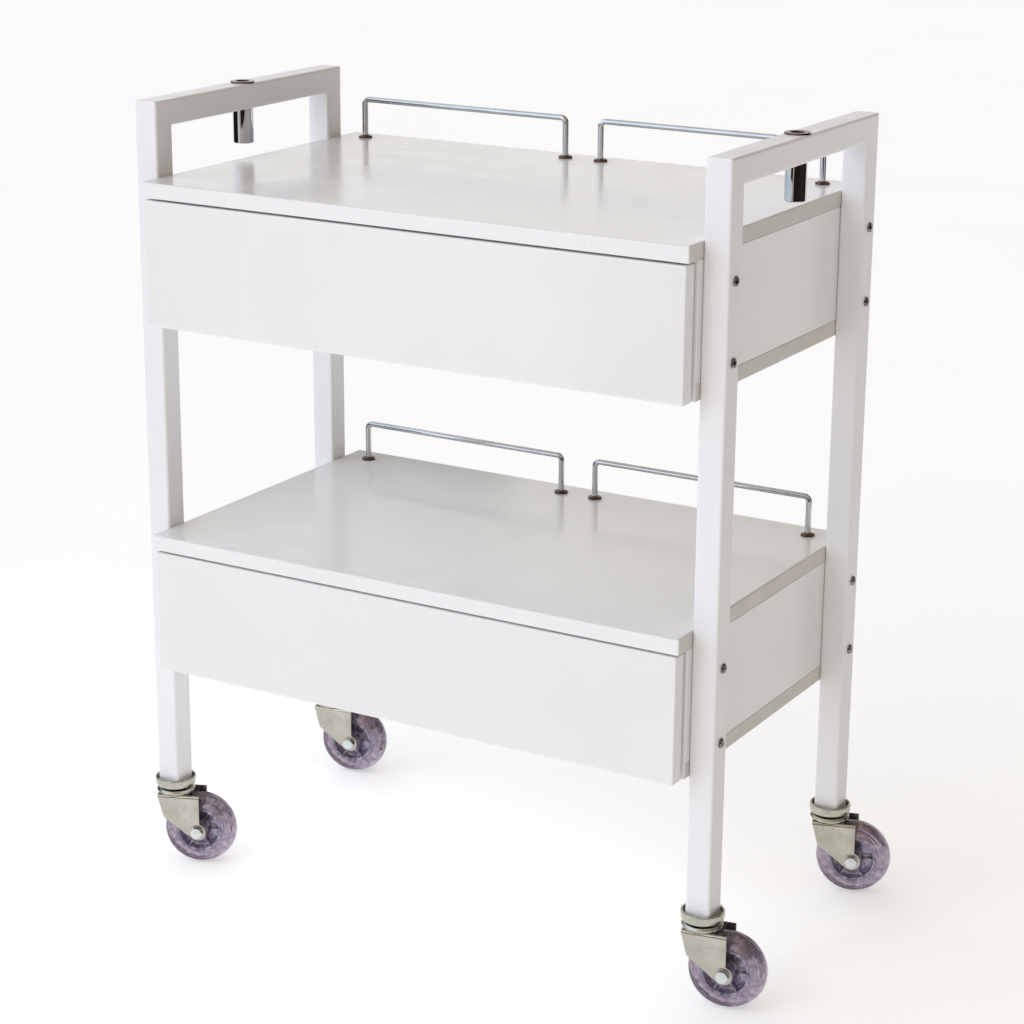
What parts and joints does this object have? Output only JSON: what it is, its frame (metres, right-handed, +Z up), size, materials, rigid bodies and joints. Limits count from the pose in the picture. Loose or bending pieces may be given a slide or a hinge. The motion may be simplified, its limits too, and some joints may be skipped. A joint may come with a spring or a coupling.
{
  "type": "rolling salon trolley",
  "caption": "Salon trolley: two square-tube side frames on swivel casters, two shallow drawer cabinets with chromed gallery rails, and lamp sockets in the top rails.",
  "frame": {"origin": "on the floor under the middle of the two side frames; the bounding box is off centre in X because all four casters trail towards +X", "axes": "+Z up, the drawer fronts face -Y, +X to the right of someone facing the drawers"},
  "size_m": [0.6884, 0.366, 0.7876],
  "materials": {
    "powder_coat": "semi-gloss white",
    "melamine": "white melamine-faced chipboard",
    "drawer_sheet": "white-faced hardboard",
    "chrome": "bright chrome",
    "zinc": "zinc plated",
    "dark_screws": "dark plated",
    "runner_steel": "white epoxy",
    "nylon": "natural nylon",
    "clear_tyre": "translucent violet-grey polyurethane",
    "clear_core": "translucent polycarbonate"
  },
  "bodies": {
    "frame": {"left_front_leg": "powder_coat", "right_front_leg": "powder_coat", "left_rear_leg": "powder_coat", "right_rear_leg": "powder_coat", "left_top_rail": "powder_coat", "right_top_rail": "powder_coat", "left_accessory_socket": "chrome", "right_accessory_socket": "chrome", "caster_stems": "zinc", "frame_screws": "dark_screws", "upper_top_board": "melamine", "upper_left_side_panel": "melamine", "upper_right_side_panel": "melamine", "upper_bottom_board": "melamine", "upper_back_panel": "melamine", "lower_top_board": "melamine", "lower_left_side_panel": "melamine", "lower_right_side_panel": "melamine", "lower_bottom_board": "melamine", "lower_back_panel": "melamine", "upper_left_gallery_rail": "chrome", "upper_right_gallery_rail": "chrome", "lower_left_gallery_rail": "chrome", "lower_right_gallery_rail": "chrome", "gallery_flanges": "chrome", "gallery_nuts": "zinc", "upper_cabinet_runners": "runner_steel", "lower_cabinet_runners": "runner_steel"},
    "upper_drawer": {"upper_drawer_front": "melamine", "upper_drawer_left_side": "melamine", "upper_drawer_right_side": "melamine", "upper_drawer_back": "melamine", "upper_drawer_bottom": "drawer_sheet", "upper_drawer_runners": "runner_steel"},
    "lower_drawer": {"lower_drawer_front": "melamine", "lower_drawer_left_side": "melamine", "lower_drawer_right_side": "melamine", "lower_drawer_back": "melamine", "lower_drawer_bottom": "drawer_sheet", "lower_drawer_runners": "runner_steel"},
    "upper_front_rollers": {"upper_front_rollers": "nylon"},
    "upper_rear_rollers": {"upper_rear_rollers": "nylon"},
    "lower_front_rollers": {"lower_front_rollers": "nylon"},
    "lower_rear_rollers": {"lower_rear_rollers": "nylon"},
    "front_left_caster": {"front_left_fork": "zinc", "front_left_axle": "zinc"},
    "front_left_wheel": {"front_left_tyre": "clear_tyre", "front_left_hub": "clear_core"},
    "front_right_caster": {"front_right_fork": "zinc", "front_right_axle": "zinc"},
    "front_right_wheel": {"front_right_tyre": "clear_tyre", "front_right_hub": "clear_core"},
    "rear_left_caster": {"rear_left_fork": "zinc", "rear_left_axle": "zinc"},
    "rear_left_wheel": {"rear_left_tyre": "clear_tyre", "rear_left_hub": "clear_core"},
    "rear_right_caster": {"rear_right_fork": "zinc", "rear_right_axle": "zinc"},
    "rear_right_wheel": {"rear_right_tyre": "clear_tyre", "rear_right_hub": "clear_core"}
  },
  "joints": [
    {"name": "upper_drawer_slide", "type": "slide", "parent": "frame", "child": "upper_drawer", "axis": [0, -1, 0], "range_m": [0, 0.225]},
    {"name": "upper_front_rollers_roll", "type": "hinge", "parent": "frame", "child": "upper_front_rollers", "pos_m": [0, -0.15, 0.607], "axis": [1, 0, 0], "range_deg": [0, 1360]},
    {"name": "upper_rear_rollers_roll", "type": "hinge", "parent": "upper_drawer", "child": "upper_rear_rollers", "pos_m": [0, 0.126, 0.607], "axis": [1, 0, 0], "range_deg": [0, 1360]},
    {"name": "lower_drawer_slide", "type": "slide", "parent": "frame", "child": "lower_drawer", "axis": [0, -1, 0], "range_m": [0, 0.225]},
    {"name": "lower_front_rollers_roll", "type": "hinge", "parent": "frame", "child": "lower_front_rollers", "pos_m": [0, -0.15, 0.257], "axis": [1, 0, 0], "range_deg": [0, 1360]},
    {"name": "lower_rear_rollers_roll", "type": "hinge", "parent": "lower_drawer", "child": "lower_rear_rollers", "pos_m": [0, 0.126, 0.257], "axis": [1, 0, 0], "range_deg": [0, 1360]},
    {"name": "front_left_swivel", "type": "hinge", "parent": "frame", "child": "front_left_caster", "pos_m": [-0.3025, -0.1435, 0.08], "axis": [0, 0, 1], "continuous": true},
    {"name": "front_left_spin", "type": "hinge", "parent": "front_left_caster", "child": "front_left_wheel", "pos_m": [-0.27886, -0.13395, 0.0375], "axis": [-0.3746, 0.9272, 0], "continuous": true},
    {"name": "front_right_swivel", "type": "hinge", "parent": "frame", "child": "front_right_caster", "pos_m": [0.3025, -0.1435, 0.08], "axis": [0, 0, 1], "continuous": true},
    {"name": "front_right_spin", "type": "hinge", "parent": "front_right_caster", "child": "front_right_wheel", "pos_m": [0.32761, -0.13907, 0.0375], "axis": [-0.1736, 0.9848, 0], "continuous": true},
    {"name": "rear_left_swivel", "type": "hinge", "parent": "frame", "child": "rear_left_caster", "pos_m": [-0.3025, 0.1435, 0.08], "axis": [0, 0, 1], "continuous": true},
    {"name": "rear_left_spin", "type": "hinge", "parent": "rear_left_caster", "child": "rear_left_wheel", "pos_m": [-0.27756, 0.1488, 0.0375], "axis": [-0.2079, 0.9781, 0], "continuous": true},
    {"name": "rear_right_swivel", "type": "hinge", "parent": "frame", "child": "rear_right_caster", "pos_m": [0.3025, 0.1435, 0.08], "axis": [0, 0, 1], "continuous": true},
    {"name": "rear_right_spin", "type": "hinge", "parent": "rear_right_caster", "child": "rear_right_wheel", "pos_m": [0.32689, 0.15096, 0.0375], "axis": [-0.2924, 0.9563, 0], "continuous": true}
  ],
  "couplings": [
    {"joint": "upper_front_rollers_roll", "follows": "upper_drawer_slide", "rad_per_m": 105.26},
    {"joint": "upper_rear_rollers_roll", "follows": "upper_drawer_slide", "rad_per_m": 105.26},
    {"joint": "lower_front_rollers_roll", "follows": "lower_drawer_slide", "rad_per_m": 105.26},
    {"joint": "lower_rear_rollers_roll", "follows": "lower_drawer_slide", "rad_per_m": 105.26}
  ]
}
